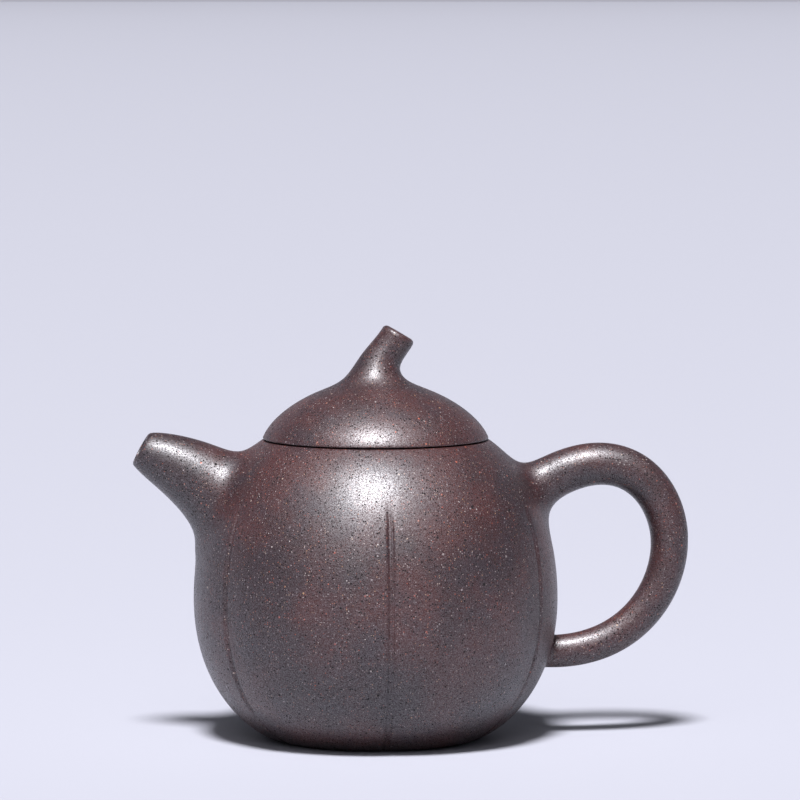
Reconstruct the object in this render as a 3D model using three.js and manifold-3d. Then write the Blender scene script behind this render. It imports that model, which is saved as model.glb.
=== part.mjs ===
// A small round teapot of unglazed stoneware in the form of a melon. Six grooves press the body
// into lobes, the spout and a loop handle are luted to it, and a domed lid with a leaning stem
// for its knob sits flush in the mouth. Millimetres, +Z up. The origin is on the body's axis, in
// the plane that the pot stands on. The spout points along -X and the handle along +X.

import * as THREE from 'three';
import { mergeVertices } from 'three/addons/utils/BufferGeometryUtils.js';
import Module from 'manifold-3d';

const wasm = await Module();
wasm.setup();

// Clearances: between luted pieces, under the lid's rim and round its flange
const luteGap = 0.3;
const seatGap = 0.3;
const flangeClearance = 0.35;

// Body
const bodyHeight = 72.4;
const bellyRadius = 44.1;
const bellyHeight = 34;
const mouthRadius = 27.4;
const footRadius = 25.4;
const footAngle = 23;
const shoulderAngle = 35;
const wallThickness = 3;
const baseThickness = 3;
const baseRim = 2.7;
const baseBevel = 0.4;
const shoulderDrop = 4.9;

// Fullness of the body's profile, as shares of the distances it spans
const footReachShare = 0.43;
const footFullnessShare = 0.6;
const shoulderReachShare = 0.82;
const shoulderFullnessShare = 0.42;

// Grooves between the lobes
const lobeCount = 6;
const grooveDepth = 0.6;
const grooveHalfWidth = 1.1;
const grooveStartDrop = 11.5;
const grooveFade = 10;
const valleyDepth = 0.45;
const valleyHalfWidth = 6;

// Mouth ring and lid
const mouthRim = 2;
const ringWidth = 2.6;
const ringDepth = 6.5;
const lidHeight = 14.3;
const lidRimAngle = 70;
const lidThickness = 3;
const flangeThickness = 2.6;
const flangeDepth = 8;
const ventDiameter = 2;
const ventRadius = 13;
const domeRiseShare = 0.52;
const domeCrownShare = 0.43;

// Knob
const stemHeight = 11.3;
const stemLean = 5.9;
const stemCutAngle = 30;
const stemDiameter = 8.4;
const stemFootDiameter = 18;
const stemRootDepth = 3;
const stemRiseShare = 0.45;
const stemBendShare = 0.53;
const stemTaper = 3.2;

// Spout
const spoutReach = 12.7;
const spoutTipDrop = 1.8;
const spoutTipAngle = 30;
const spoutTipDiameter = 8.2;
const spoutRootDiameter = 24.8;
const spoutTipRun = 3.6;
const spoutShoulderReach = 5.5;
const spoutShoulderRise = 12.6;
const spoutFlare = 2;
const spoutFlareTightness = 4;
const spoutRootDrop = 21.6;
const spoutRootDepth = 12.8;
const boreTipDiameter = 5;
const boreRootDiameter = 18;
const boreOverrun = 2;

// Strainer
const strainerDiameter = 20;
const strainerThickness = 1.8;
const strainerDrop = 15;
const strainerTilt = 24;
const strainerHoleDiameter = 2.6;
const strainerRings = [
  { count: 1, angle: 0 },
  { count: 6, angle: 26 },
  { count: 11, angle: 50 },
];

// Handle
const handleReach = 27.6;
const handleRootDrop = 13.5;
const handleOuterDrop = 25.4;
const handleTailHeight = 20.6;
const handleBend = 12.6;
const handleRootDepth = 2.2;
const handleTailDepth = 3;
const handleRootDiameter = 11;
const handleFlare = 6.4;
const handleFlareTightness = 7;
const handleShoulderReach = 15.6;
const handleShoulderRise = 16.4;
const handleHeelReach = 17.4;
const handleHeelDrop = 2;
const handleOuterDiameter = 9.1;
const handleTailDiameter = 7.7;

// Fineness
const bodyFacets = 60;
const lidFacets = 40;
const limbFacets = 20;
const wallSteps = 10;
const domeSteps = 13;
const boreSteps = 14;
const spoutSteps = 18;
const handleSteps = 34;
const stemSteps = 14;
const ballFacets = 24;
const ballRows = 14;
const ventFacets = 12;
const drillFacets = 8;
const drillLength = 8;

// Looks of the two finishes of the same clay
const burnished = { color: 0x4a3d3f, roughness: 0.55, metalness: 0.1 };
const plain = { color: 0x4b3c3c, roughness: 0.7, metalness: 0.1 };

const degrees = THREE.MathUtils.degToRad;
const lerp = THREE.MathUtils.lerp;
const at = (radius, height) => new THREE.Vector2(radius, height);
const inPlane = (x, z) => new THREE.Vector3(x, 0, z);
const heading = (angle) => inPlane(Math.cos(degrees(angle)), Math.sin(degrees(angle)));

// Profiles and solids

// A cubic curve in a profile, leaving its start and reaching its end in given directions
function cubic(start, startHandle, endHandle, end, divisions) {
  return new THREE.CubicBezierCurve(start, startHandle, endHandle, end).getPoints(divisions);
}

// A profile curve moved sideways, to the left of its own direction
function offset(points, distance) {
  return points.map((here, index) => {
    const before = points[Math.max(index - 1, 0)];
    const after = points[Math.min(index + 1, points.length - 1)];
    const along = after.clone().sub(before).normalize();
    return at(Math.max(here.x - along.y * distance, 0), here.y + along.x * distance);
  });
}

// A closed profile of radius and height, turned round the Z axis
function turned(profile, facets) {
  const geometry = new THREE.LatheGeometry([...profile, profile[0].clone()], facets);
  return geometry.rotateX(Math.PI / 2);
}

// A curve that starts low and ends high, filled in to the axis and turned
function filled(points, facets) {
  const low = at(0, points[0].y);
  const high = at(0, points[points.length - 1].y);
  return turned([low, ...points, high], facets);
}

// A ring or a disc between two radii and two heights
function ring(innerRadius, outerRadius, low, high, facets) {
  return turned([
    at(innerRadius, low),
    at(outerRadius, low),
    at(outerRadius, high),
    at(innerRadius, high),
  ], facets);
}

function reshape(geometry, move) {
  const position = geometry.attributes.position;
  const vertex = new THREE.Vector3();
  for (let index = 0; index < position.count; index += 1) {
    vertex.fromBufferAttribute(position, index);
    move(vertex);
    position.setXYZ(index, vertex.x, vertex.y, vertex.z);
  }
  return geometry;
}

// A tapering rod of round section along a curve in the XZ plane. Its diameter is given by a
// function of the share of the curve, from 0 at its start to 1 at its end.
function limb(curve, diameterAt, steps, facets) {
  const profile = [at(0, 0)];
  for (let step = 0; step <= steps; step += 1) {
    profile.push(at(diameterAt(step / steps) / 2, step / steps));
  }
  profile.push(at(0, 1));
  const across = new THREE.Vector3(0, 1, 0);
  const side = new THREE.Vector3();
  return reshape(new THREE.LatheGeometry(profile, facets), (vertex) => {
    const [sideways, share, depth] = vertex.toArray();
    side.crossVectors(curve.getTangent(share), across);
    vertex.copy(curve.getPoint(share)).addScaledVector(side, sideways).addScaledVector(across, depth);
  });
}

function solid(geometry) {
  const bare = new THREE.BufferGeometry();
  bare.setAttribute('position', geometry.attributes.position);
  if (geometry.index) bare.setIndex(geometry.index);
  const merged = mergeVertices(bare, 1e-4);
  const triangles = [];
  for (let index = 0; index < merged.index.count; index += 3) {
    const corners = [0, 1, 2].map((step) => merged.index.getX(index + step));
    if (new Set(corners).size === 3) triangles.push(...corners);
  }
  return new wasm.Manifold(new wasm.Mesh({
    numProp: 3,
    vertProperties: new Float32Array(merged.attributes.position.array),
    triVerts: new Uint32Array(triangles),
  }));
}

function part(name, shape, finish) {
  const result = shape.getMesh();
  const geometry = new THREE.BufferGeometry();
  geometry.setAttribute('position', new THREE.BufferAttribute(result.vertProperties, 3));
  geometry.setIndex(new THREE.BufferAttribute(result.triVerts, 1));
  geometry.computeVertexNormals();
  const mesh = new THREE.Mesh(geometry, new THREE.MeshStandardMaterial(finish));
  mesh.name = name;
  return mesh;
}

// The body's outer profile, from the foot out to the belly and in to the mouth

const footReach = footReachShare * (bellyRadius - footRadius);
const footFullness = footFullnessShare * bellyHeight;
const shoulderReach = shoulderReachShare * (bellyRadius - mouthRadius);
const shoulderFullness = shoulderFullnessShare * (bodyHeight - bellyHeight);
const foot = at(footRadius, 0);
const belly = at(bellyRadius, bellyHeight);
const mouth = at(mouthRadius, bodyHeight);
const towardsBelly = at(Math.cos(degrees(footAngle)), Math.sin(degrees(footAngle)));
const fromMouth = at(Math.cos(degrees(shoulderAngle)), -Math.sin(degrees(shoulderAngle)));
const outerWall = [
  ...cubic(
    foot,
    foot.clone().addScaledVector(towardsBelly, footReach),
    at(bellyRadius, bellyHeight - footFullness),
    belly,
    wallSteps,
  ),
  ...cubic(
    belly,
    at(bellyRadius, bellyHeight + shoulderFullness),
    mouth.clone().addScaledVector(fromMouth, shoulderReach),
    mouth,
    wallSteps,
  ).slice(1),
];

function bodyRadiusAt(height) {
  const next = Math.max(outerWall.findIndex((here) => here.y >= height), 1);
  const high = outerWall[next];
  const low = outerWall[next - 1];
  return THREE.MathUtils.mapLinear(height, low.y, high.y, low.x, high.x);
}

// Crowd a turned body's facets towards the grooves and press the grooves in
function pressLobes(geometry) {
  const lobeAngle = (2 * Math.PI) / lobeCount;
  const crowding = 0.75;
  const grooveStart = bodyHeight - grooveStartDrop;
  return reshape(geometry, (vertex) => {
    const radius = Math.hypot(vertex.x, vertex.y);
    const turn = Math.atan2(vertex.y, vertex.x) / lobeAngle;
    const lobe = Math.round(turn);
    const share = turn - lobe;
    const crowded = share + (crowding * Math.sin(2 * Math.PI * share)) / (2 * Math.PI);
    const angle = (lobe + crowded) * lobeAngle;
    const distance = (0.5 - Math.abs(crowded)) * lobeAngle * radius;
    const groove = grooveDepth * Math.exp(-((distance / grooveHalfWidth) ** 2));
    const grooveShare = 1 - THREE.MathUtils.smoothstep(vertex.z, grooveStart - grooveFade, grooveStart);
    const valley = valleyDepth * Math.exp(-((distance / valleyHalfWidth) ** 2));
    const valleyShare = 1 - THREE.MathUtils.smoothstep(vertex.z, bellyHeight, grooveStart);
    const onWall = radius > grooveDepth + valleyDepth;
    const pressed = onWall ? radius - groove * grooveShare - valley * valleyShare : radius;
    vertex.x = pressed * Math.cos(angle);
    vertex.y = pressed * Math.sin(angle);
  });
}

// The body's outer form grown by a gap, which cuts what is luted to it
const bodyForm = (gap) => solid(pressLobes(filled(offset(outerWall, -gap), bodyFacets)));

// The hollow inside the body, shrunk by a gap, which trims what is luted inside it
const innerWall = offset(outerWall, wallThickness).filter((here, index) => index % 2 === 0);
const bodyHollow = (gap) => solid(filled(offset(innerWall, gap), lidFacets));

// Spout curve

const spoutAxis = heading(180 - spoutTipAngle);
const spoutTip = inPlane(-(bellyRadius + spoutReach), bodyHeight - spoutTipDrop);
const spoutRoot = inPlane(-(bellyRadius - spoutRootDepth), bodyHeight - spoutRootDrop);
const spoutShoulder = spoutRoot.clone().add(inPlane(-spoutShoulderReach, spoutShoulderRise));
const spoutCurve = new THREE.CubicBezierCurve3(
  spoutTip,
  spoutTip.clone().addScaledVector(spoutAxis, -spoutTipRun),
  spoutShoulder,
  spoutRoot,
);
const boreCurve = new THREE.CubicBezierCurve3(
  spoutTip.clone().addScaledVector(spoutAxis, boreOverrun),
  spoutTip.clone().addScaledVector(spoutAxis, -spoutTipRun),
  spoutShoulder,
  spoutRoot,
);
function spoutDiameterAt(share) {
  return lerp(spoutTipDiameter, spoutRootDiameter, share) + spoutFlare * share ** spoutFlareTightness;
}
const boreDiameterAt = (share) => lerp(boreTipDiameter, boreRootDiameter, share);
const bore = solid(limb(boreCurve, boreDiameterAt, boreSteps, limbFacets));

// Handle curve

const handleOuter = inPlane(bellyRadius + handleReach, bodyHeight - handleOuterDrop);
const handleRootHeight = bodyHeight - handleRootDrop;
const handleRoot = inPlane(bodyRadiusAt(handleRootHeight) - handleRootDepth, handleRootHeight);
const handleTail = inPlane(bodyRadiusAt(handleTailHeight) - handleTailDepth, handleTailHeight);
const handleCurve = new THREE.CurvePath();
handleCurve.add(new THREE.CubicBezierCurve3(
  handleRoot,
  inPlane(bellyRadius + handleShoulderReach, handleRootHeight + handleShoulderRise),
  handleOuter.clone().add(inPlane(0, handleBend)),
  handleOuter,
));
handleCurve.add(new THREE.CubicBezierCurve3(
  handleOuter,
  handleOuter.clone().sub(inPlane(0, handleBend)),
  inPlane(bellyRadius + handleHeelReach, handleTailHeight - handleHeelDrop),
  handleTail,
));
const [upperRun, wholeRun] = handleCurve.getCurveLengths();
const outerShare = upperRun / wholeRun;
function handleDiameterAt(share) {
  if (share > outerShare) {
    const past = (share - outerShare) / (1 - outerShare);
    return lerp(handleOuterDiameter, handleTailDiameter, past);
  }
  const towards = share / outerShare;
  const flare = handleFlare * (1 - towards) ** handleFlareTightness;
  return lerp(handleRootDiameter, handleOuterDiameter, towards) + flare;
}

// Lid profile and the heights and radii that follow from the mouth

const ringOuter = mouthRadius - mouthRim - luteGap;
const openingRadius = ringOuter - ringWidth;
const flangeOuter = openingRadius - flangeClearance;
const lidBottom = bodyHeight + seatGap;
const lidTop = lidBottom + lidHeight;
const domeHollowRadius = flangeOuter + luteGap;

function domeCurve(radius, top) {
  const rise = domeRiseShare * (top - lidBottom);
  const rim = at(radius, lidBottom);
  const upwards = at(-Math.cos(degrees(lidRimAngle)), Math.sin(degrees(lidRimAngle)));
  const crown = at(domeCrownShare * radius, top);
  return cubic(rim, rim.clone().addScaledVector(upwards, rise), crown, at(0, top), domeSteps);
}

const domeOuter = domeCurve(mouthRadius, lidTop);
const domeInner = domeCurve(domeHollowRadius, lidTop - lidThickness);
const domeForm = (gap) => solid(filled(offset(domeOuter, -gap), lidFacets));
const domeHollow = (gap) => solid(turned(
  [
    at(0, lidBottom - flangeDepth),
    at(domeHollowRadius - gap, lidBottom - flangeDepth),
    ...offset(domeInner, gap),
  ],
  lidFacets,
));

// Knob curve

const stemRoot = inPlane(0, lidTop - stemRootDepth);
const stemEnd = inPlane(stemLean, lidTop + stemHeight);
const stemCurve = new THREE.CubicBezierCurve3(
  stemRoot,
  inPlane(0, lidTop + stemRiseShare * stemHeight),
  stemEnd.clone().addScaledVector(heading(90 - stemCutAngle), -stemBendShare * stemHeight),
  stemEnd,
);
const stemDiameterAt = (share) => lerp(stemFootDiameter, stemDiameter, 1 - (1 - share) ** stemTaper);

// Strainer, a pierced half ball over the spout's opening inside the wall

const strainerHeight = bodyHeight - strainerDrop;
const strainerCentre = inPlane(-(bodyRadiusAt(strainerHeight) - wallThickness), strainerHeight);
const strainerRadius = strainerDiameter / 2;

function strainerHole(ringAngle, turn) {
  const direction = heading(0).applyAxisAngle(new THREE.Vector3(0, 1, 0), degrees(ringAngle));
  direction.applyAxisAngle(new THREE.Vector3(1, 0, 0), turn);
  direction.applyAxisAngle(new THREE.Vector3(0, 1, 0), degrees(strainerTilt));
  const radius = strainerHoleDiameter / 2;
  const drill = new THREE.CylinderGeometry(radius, radius, drillLength, drillFacets);
  drill.applyQuaternion(new THREE.Quaternion().setFromUnitVectors(new THREE.Vector3(0, 1, 0), direction));
  const middle = strainerCentre.clone().addScaledVector(direction, strainerRadius - strainerThickness / 2);
  return solid(drill.translate(middle.x, middle.y, middle.z));
}

function ball(radius) {
  const geometry = new THREE.SphereGeometry(radius, ballFacets, ballRows);
  return solid(geometry.translate(strainerCentre.x, strainerCentre.y, strainerCentre.z));
}

// Pieces

const overrun = 1;
const baseCut = solid(ring(0, footRadius - baseRim, -overrun, baseThickness + overrun, lidFacets));
const seat = ring(0, ringOuter + luteGap, bodyHeight - ringDepth, bodyHeight + overrun, lidFacets);
const mouthCut = solid(seat);
const bodyShell = bodyForm(0).subtract(bodyHollow(0)).subtract(baseCut).subtract(mouthCut).subtract(bore);

// Everything above a height
const above = (height) => solid(ring(0, 2 * bellyRadius, height, bodyHeight + overrun, limbFacets));
const shoulderHeight = bodyHeight - shoulderDrop;
const bodyWall = () => bodyShell.subtract(above(shoulderHeight - luteGap / 2));
const shoulderDisc = () => bodyShell.intersect(above(shoulderHeight + luteGap / 2));

function baseDisc() {
  const edge = footRadius - baseRim - luteGap;
  return solid(turned([
    at(0, 0),
    at(edge - baseBevel, 0),
    at(edge, baseBevel),
    at(edge, baseThickness - baseBevel),
    at(edge - baseBevel, baseThickness),
    at(0, baseThickness),
  ], lidFacets));
}

function mouthRing() {
  return solid(ring(openingRadius, ringOuter, bodyHeight - ringDepth, bodyHeight, lidFacets));
}

const spout = () => solid(limb(spoutCurve, spoutDiameterAt, spoutSteps, limbFacets))
  .subtract(bodyForm(luteGap))
  .subtract(bore);

function strainer() {
  let shell = ball(strainerRadius).subtract(ball(strainerRadius - strainerThickness));
  shell = shell.intersect(bodyHollow(luteGap));
  for (const { count, angle } of strainerRings) {
    for (let hole = 0; hole < count; hole += 1) {
      shell = shell.subtract(strainerHole(angle, (2 * Math.PI * hole) / count));
    }
  }
  return shell;
}

const handle = () => solid(limb(handleCurve, handleDiameterAt, handleSteps, limbFacets))
  .subtract(bodyForm(luteGap));

function lidDome() {
  const radius = ventDiameter / 2;
  const vent = new THREE.CylinderGeometry(radius, radius, 4 * lidThickness, ventFacets);
  vent.rotateX(Math.PI / 2).translate(0, ventRadius, lidTop - lidThickness);
  return domeForm(0).subtract(domeHollow(0)).subtract(solid(vent));
}

function lidFlange() {
  const low = lidBottom - flangeDepth;
  const high = lidBottom + lidHeight / 2;
  const tube = ring(flangeOuter - flangeThickness, flangeOuter, low, high, lidFacets);
  return solid(tube).intersect(domeHollow(luteGap));
}

const lidKnob = () => solid(limb(stemCurve, stemDiameterAt, stemSteps, limbFacets))
  .subtract(domeForm(luteGap));

const pot = new THREE.Group();
pot.add(
  part('body_wall', bodyWall(), burnished),
  part('shoulder_disc', shoulderDisc(), burnished),
  part('base_disc', baseDisc(), plain),
  part('mouth_ring', mouthRing(), plain),
  part('spout', spout(), burnished),
  part('spout_strainer', strainer(), plain),
  part('handle', handle(), burnished),
);

const lid = new THREE.Group();
lid.add(
  part('lid_dome', lidDome(), burnished),
  part('lid_flange', lidFlange(), plain),
  part('lid_knob', lidKnob(), burnished),
);

const teapot = new THREE.Group();
teapot.add(pot, lid);

export default teapot;
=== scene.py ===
import math

import bmesh
import bpy
import numpy as np
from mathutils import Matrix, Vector


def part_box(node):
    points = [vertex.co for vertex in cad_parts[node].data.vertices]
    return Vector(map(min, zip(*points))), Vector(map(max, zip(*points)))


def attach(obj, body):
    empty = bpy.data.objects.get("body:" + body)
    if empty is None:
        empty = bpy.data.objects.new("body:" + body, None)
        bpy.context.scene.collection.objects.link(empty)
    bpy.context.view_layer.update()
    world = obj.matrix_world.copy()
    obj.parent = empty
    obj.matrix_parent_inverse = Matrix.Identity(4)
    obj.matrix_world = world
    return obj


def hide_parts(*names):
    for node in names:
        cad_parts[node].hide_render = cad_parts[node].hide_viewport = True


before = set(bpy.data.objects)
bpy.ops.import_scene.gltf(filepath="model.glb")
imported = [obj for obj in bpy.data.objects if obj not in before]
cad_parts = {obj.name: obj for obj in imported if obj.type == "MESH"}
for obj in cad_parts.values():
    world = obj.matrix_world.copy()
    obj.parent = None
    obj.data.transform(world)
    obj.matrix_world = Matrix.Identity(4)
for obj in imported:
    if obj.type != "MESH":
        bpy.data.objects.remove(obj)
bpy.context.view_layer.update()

mm = 0.001
scene = bpy.context.scene
print("frame loaded:", sorted(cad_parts))


# camera, a little above the pot and turned slightly to the spout's side
camera = {
    "azimuth": -4.5,
    "distance": 1200 * mm,
    "height": 178.5 * mm,
    "aimAcross": 5.9 * mm,
    "aimHeight": 82 * mm,
    "lens": 224.1,
    "sensor": 36,
    "sight": 2000,
}


def makeCamera():
    data = bpy.data.cameras.new("camera")
    data.lens = camera["lens"]
    data.sensor_width = camera["sensor"]
    data.clip_end = camera["sight"]
    turn = math.radians(camera["azimuth"])
    right = Vector((math.cos(turn), math.sin(turn), 0))
    back = Vector((math.sin(turn), -math.cos(turn), 0))
    aim = right * camera["aimAcross"] + Vector((0, 0, camera["aimHeight"]))
    place = right * camera["aimAcross"] + back * camera["distance"]
    place.z = camera["height"]
    eye = bpy.data.objects.new("camera", data)
    eye.location = place
    eye.rotation_euler = (aim - place).to_track_quat("-Z", "Y").to_euler()
    scene.collection.objects.link(eye)
    scene.camera = eye


makeCamera()
print("camera placed")


# a node's socket that takes part in Python sums
class Sum:
    def __init__(self, tree, socket):
        self.tree = tree
        self.socket = socket

    def _math(self, operation, *values):
        node = self.tree.tree.nodes.new("ShaderNodeMath")
        node.operation = operation
        for place, value in enumerate(values):
            self.tree.feed(node.inputs[place], value)
        return Sum(self.tree, node.outputs[0])

    def __add__(self, other):
        return self._math("ADD", self, other)

    def __radd__(self, other):
        return self._math("ADD", other, self)

    def __sub__(self, other):
        return self._math("SUBTRACT", self, other)

    def __rsub__(self, other):
        return self._math("SUBTRACT", other, self)

    def __mul__(self, other):
        return self._math("MULTIPLY", self, other)

    def __rmul__(self, other):
        return self._math("MULTIPLY", other, self)

    def __truediv__(self, other):
        return self._math("DIVIDE", self, other)

    def __rtruediv__(self, other):
        return self._math("DIVIDE", other, self)

    def __pow__(self, other):
        return self._math("POWER", self, other)

    def __neg__(self):
        return self._math("MULTIPLY", self, -1.0)


# a node tree, with one method that makes any node
class Tree:
    def __init__(self, tree):
        self.tree = tree

    def feed(self, socket, value):
        if isinstance(value, Sum):
            value = value.socket
        if isinstance(value, bpy.types.NodeSocket):
            self.tree.links.new(value, socket)
        else:
            socket.default_value = value

    def node(self, kind, settings=None, **sockets):
        made = self.tree.nodes.new(kind)
        for name, value in (settings or {}).items():
            if name == "stops":
                ramp = made.color_ramp
                while len(ramp.elements) < len(value):
                    ramp.elements.new(0.5)
                for element, (place, colour) in zip(ramp.elements, value):
                    element.position = place
                    element.color = colour
            else:
                setattr(made, name, value)
        for name, value in sockets.items():
            key = int(name[1:]) if name[0] == "_" else name.replace("_", " ")
            self.feed(made.inputs[key], value)
        return made

    def out(self, kind, settings=None, output=0, **sockets):
        return Sum(self, self.node(kind, settings, **sockets).outputs[output])

    def most(self, first, second):
        return first._math("MAXIMUM", first, second)

    def smooth(self, value, low, high, fromValue=0.0, toValue=1.0):
        settings = {"interpolation_type": "SMOOTHSTEP"}
        ends = {"_1": low, "_2": high, "_3": fromValue, "_4": toValue}
        return self.out("ShaderNodeMapRange", settings, _0=value, **ends)

    def blendColours(self, factor, first, second, mode="MIX"):
        settings = {"data_type": "RGBA", "blend_type": mode}
        return self.out("ShaderNodeMix", settings, 2, _0=factor, _6=first, _7=second)


# clay: a dark ground with fine grain, mineral specks and small pits, burnished or left matt
clay = {
    "ground": (0.019, 0.0060, 0.0068, 1),
    "redder": (0.046, 0.0100, 0.0085, 1),
    "greyer": (0.017, 0.0100, 0.0140, 1),
    "greyShare": 0.55,
    "cloudSize": 26 * mm,
    "patchSize": 9 * mm,
    "dust": (0.085, 0.062, 0.077, 1),
    "dustShare": 0.8,
    "grainSize": 0.30 * mm,
    "coarseSize": 0.93 * mm,
    "relief": 0.19 * mm,
    "glintSize": 0.25 * mm,
    "dullest": 0.2,         # the sheen's share between the glints
    "ior": 1.4,
    "sheenIor": 1.85,
    "sheenRoughness": 0.43,
    "sheenTint": (0.92, 0.95, 1, 1),
    "speckColours": (
        (0.0, (0.42, 0.09, 0.035, 1)),
        (0.2, (0.26, 0.07, 0.055, 1)),
        (0.38, (0.36, 0.2, 0.1, 1)),
        (0.55, (0.42, 0.36, 0.33, 1)),
        (0.8, (0.24, 0.19, 0.19, 1)),
    ),
    "pitColour": (0.003, 0.002, 0.003, 1),
}

# dots lie in cells of this size, and reach between these shares of a cell
speckDots = {"size": 1.425 * mm, "shift": 0.051, "least": 0.10, "most": 0.24}
fineSpeckDots = {"size": 0.475 * mm, "shift": 0.083, "least": 0.16, "most": 0.40}
pitDots = {"size": 2.3 * mm, "shift": 0.117, "share": 0.3, "least": 0.07, "most": 0.19}
finePitDots = {"size": 0.644 * mm, "shift": 0.139, "share": 0.6, "least": 0.13, "most": 0.42}

finishes = {
    "burnished_clay": {
        "roughness": 0.42,
        "sheen": 1.0,
        "tint": (1, 1, 1, 1),
        "speckShare": 0.208,
        "fineSpeckShare": 0.442,
    },
    "plain_clay": {
        "roughness": 0.66,
        "sheen": 0.0,
        "tint": (1.15, 0.95, 0.9, 1),
        "speckShare": 0.16,
        "fineSpeckShare": 0.34,
    },
}


def clayMaterial(name):
    finish = finishes[name]
    material = bpy.data.materials.new(name)
    material.use_nodes = True
    material.node_tree.nodes.clear()
    t = Tree(material.node_tree)
    spot = t.out("ShaderNodeTexCoord", None, 3)

    def shifted(x, y, z):
        return t.out("ShaderNodeVectorMath", {"operation": "ADD"}, _0=spot, _1=(x, y, z))

    def noise(size, detail, rough, shift=0.0):
        where = shifted(shift, shift * 0.7, -shift)
        values = {"Vector": where, "Scale": 1 / size, "Detail": detail, "Roughness": rough}
        return t.out("ShaderNodeTexNoise", None, 0, **values)

    def cells(size, shift, output):
        where = shifted(shift, -shift, shift * 0.6)
        return t.node("ShaderNodeTexVoronoi", None, Vector=where, Scale=1 / size).outputs[output]

    # a dot in some of the cells, its size and kind drawn from the cell's own colour
    def dots(size, shift, share, least, most):
        chance = t.node("ShaderNodeSeparateColor", None, _0=cells(size, shift, "Color"))
        here = t.smooth(Sum(t, chance.outputs[0]), 1 - share, 1 - share * 0.8)
        reach = least + (most - least) * Sum(t, chance.outputs[1])
        near = Sum(t, cells(size, shift, "Distance"))
        inside = t.smooth(near / reach, 1.0, 0.6)
        return here * inside, Sum(t, chance.outputs[2])

    grain = noise(clay["grainSize"], 3.0, 0.65)
    coarse = noise(clay["coarseSize"], 2.0, 0.6, 0.013)
    cloud = noise(clay["cloudSize"], 3.0, 0.55, 0.21)
    patch = noise(clay["patchSize"], 3.0, 0.6, 0.37)

    colour = t.blendColours(t.smooth(cloud, 0.38, 0.62), clay["ground"], clay["redder"])
    colour = t.blendColours(t.smooth(patch, 0.45, 0.7) * clay["greyShare"], colour, clay["greyer"])
    dust = t.smooth(grain, 0.5, 0.74) * (0.3 + 0.7 * t.smooth(coarse, 0.4, 0.62))
    colour = t.blendColours(dust * clay["dustShare"], colour, clay["dust"])

    specks, kind = dots(share=finish["speckShare"], **speckDots)
    palette = t.out("ShaderNodeValToRGB", {"stops": clay["speckColours"]}, 0, Fac=kind)
    colour = t.blendColours(specks * 0.9, colour, palette)
    fineSpecks, kind = dots(share=finish["fineSpeckShare"], **fineSpeckDots)
    palette = t.out("ShaderNodeValToRGB", {"stops": clay["speckColours"]}, 0, Fac=kind)
    colour = t.blendColours(fineSpecks * 0.75, colour, palette)
    pits = t.most(dots(**pitDots)[0], dots(**finePitDots)[0])
    colour = t.blendColours(pits * 0.9, colour, clay["pitColour"])
    colour = t.blendColours(1.0, colour, finish["tint"], "MULTIPLY")

    roughness = finish["roughness"] + 0.16 * (grain - 0.5) + 0.2 * (patch - 0.5) + 0.3 * pits
    height = grain + 0.9 * coarse - 1.3 * pits + 0.35 * specks
    bump = t.out("ShaderNodeBump", None, 0, Strength=1.0, Distance=clay["relief"], Height=height)
    surface = {"Base_Color": colour, "Roughness": roughness, "Normal": bump}
    shader = t.node("ShaderNodeBsdfPrincipled", None, **surface)
    shader.inputs["IOR"].default_value = clay["ior"]
    if finish["sheen"] > 0:
        # a burnished skin, broken up by the grain and missing in the pits
        glint = t.smooth(noise(clay["glintSize"], 1.0, 0.5, 0.29), 0.40, 0.60)
        glints = clay["dullest"] + (1 - clay["dullest"]) * glint
        t.feed(shader.inputs["Coat Weight"], finish["sheen"] * glints * (1 - pits))
        shader.inputs["Coat IOR"].default_value = clay["sheenIor"]
        shader.inputs["Coat Roughness"].default_value = clay["sheenRoughness"]
        shader.inputs["Coat Tint"].default_value = clay["sheenTint"]
    t.node("ShaderNodeOutputMaterial", None, Surface=shader.outputs[0])
    return material


burnishedClay = clayMaterial("burnished_clay")
plainClay = clayMaterial("plain_clay")
print("clay mixed")


# outlines and turned shapes, in the frame's metres
def cubic(points, share):
    share = np.asarray(share)[..., None]
    p = [np.asarray(point, float) for point in points]
    return (
        (1 - share) ** 3 * p[0]
        + 3 * (1 - share) ** 2 * share * p[1]
        + 3 * (1 - share) * share ** 2 * p[2]
        + share ** 3 * p[3]
    )


def lengths(points):
    return np.concatenate([[0], np.cumsum(np.linalg.norm(np.diff(points, axis=0), axis=1))])


def resample(points, spacing):
    along = lengths(points)
    count = max(int(round(along[-1] / spacing)), 2)
    wanted = np.linspace(0, along[-1], count + 1)
    return np.stack([np.interp(wanted, along, points[:, axis]) for axis in range(points.shape[1])], 1)


def trim(points, startCut, endCut):
    along = lengths(points)
    low, high = startCut, along[-1] - endCut
    ends = [[np.interp(cut, along, points[:, axis]) for axis in range(2)] for cut in (low, high)]
    inside = points[(along > low + 1e-7) & (along < high - 1e-7)]
    return np.vstack([ends[:1], inside, ends[1:]])


def straight(start, end, count=6):
    ease = 0.5 - 0.5 * np.cos(np.linspace(0, math.pi, count))
    return np.asarray(start) + (np.asarray(end) - np.asarray(start)) * ease[:, None]


def offsetLine(points, distance):
    along = np.gradient(points, axis=0)
    along /= np.linalg.norm(along, axis=1)[:, None]
    moved = points + distance * np.stack([-along[:, 1], along[:, 0]], 1)
    moved[:, 0] = np.maximum(moved[:, 0], 0)
    return moved


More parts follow.
